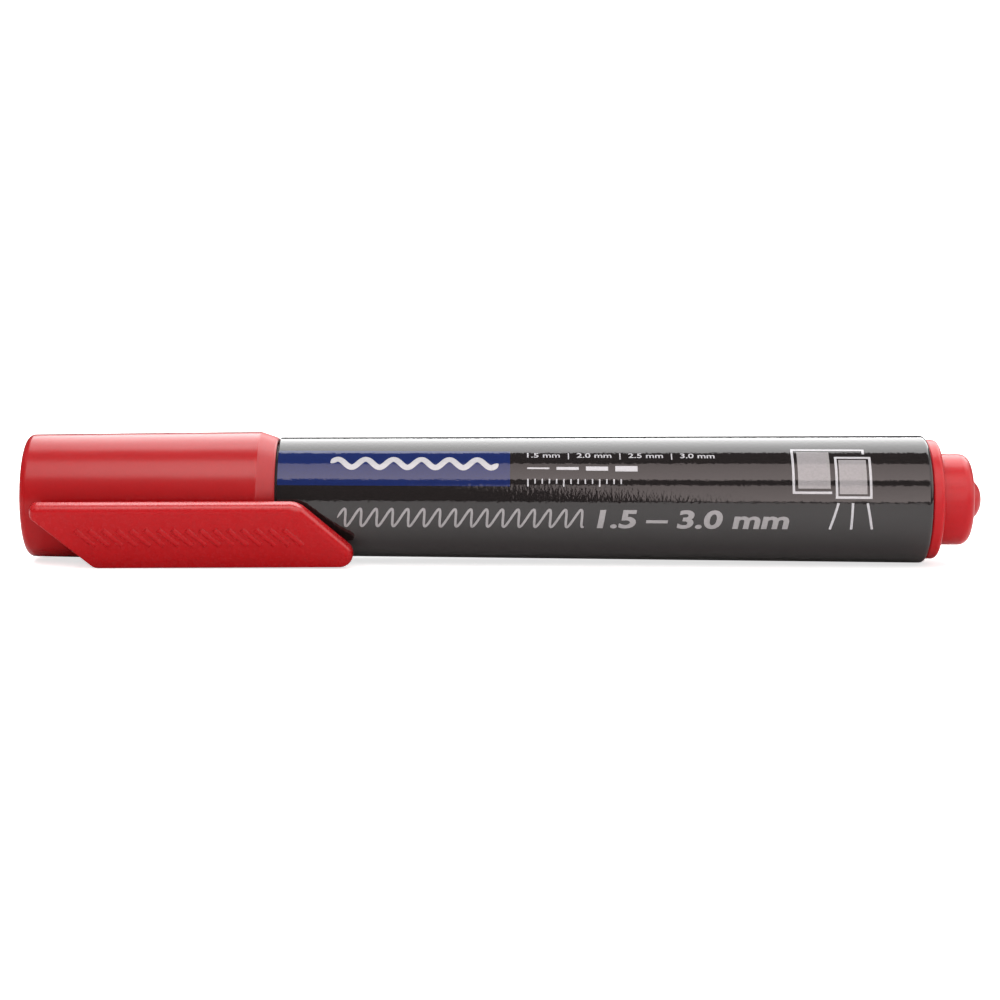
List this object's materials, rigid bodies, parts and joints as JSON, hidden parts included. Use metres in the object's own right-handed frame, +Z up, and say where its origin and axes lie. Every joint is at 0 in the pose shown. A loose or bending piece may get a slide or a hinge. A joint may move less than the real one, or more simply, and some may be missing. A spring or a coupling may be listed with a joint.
{
  "type": "whiteboard marker",
  "caption": "Round bullet-tip whiteboard marker with a pull-off cap, a slanted flag-shaped clip, a film-covered barrel and a stepped rear plug, lying on its side.",
  "frame": {"origin": "on the table, under the middle of the marker's bounding box as it lies on its side", "axes": "+X along the marker from the closed end of the cap to the rear plug, +Z up, and the clip on the -Y side, pointing a little downwards"},
  "size_m": [0.1358, 0.0216, 0.0184],
  "materials": {
    "cap_red": "satin",
    "plug_red": "satin",
    "seal": "satin",
    "label_black": "gloss",
    "label_blue": "gloss",
    "label_print": "gloss",
    "barrel_black": "satin",
    "holder_black": "satin",
    "nib_felt": "matte",
    "ink_fibre": "matte",
    "clear_film": "gloss"
  },
  "bodies": {
    "barrel": {"barrel_tube": "barrel_black", "label_film": "label_black", "nib_holder": "holder_black", "nib": "nib_felt", "ink_reservoir": "ink_fibre", "reservoir_wrap": "clear_film", "end_plug": "plug_red"},
    "cap": {"cap_shell": "cap_red", "cap_seal": "seal", "clip_root": "cap_red"},
    "clip": {"clip_arm": "cap_red"}
  },
  "joints": [
    {"name": "cap_pull", "type": "slide", "parent": "barrel", "child": "cap", "axis": [-1, 0, 0], "range_m": [0, 0.042]},
    {"name": "clip_flex", "type": "hinge", "parent": "cap", "child": "clip", "pos_m": [-0.05085, -0.00892, 0.00446], "axis": [0, 0.4112, -0.9115], "range_deg": [0, 4.5], "stiffness_Nm_per_rad": 1}
  ]
}
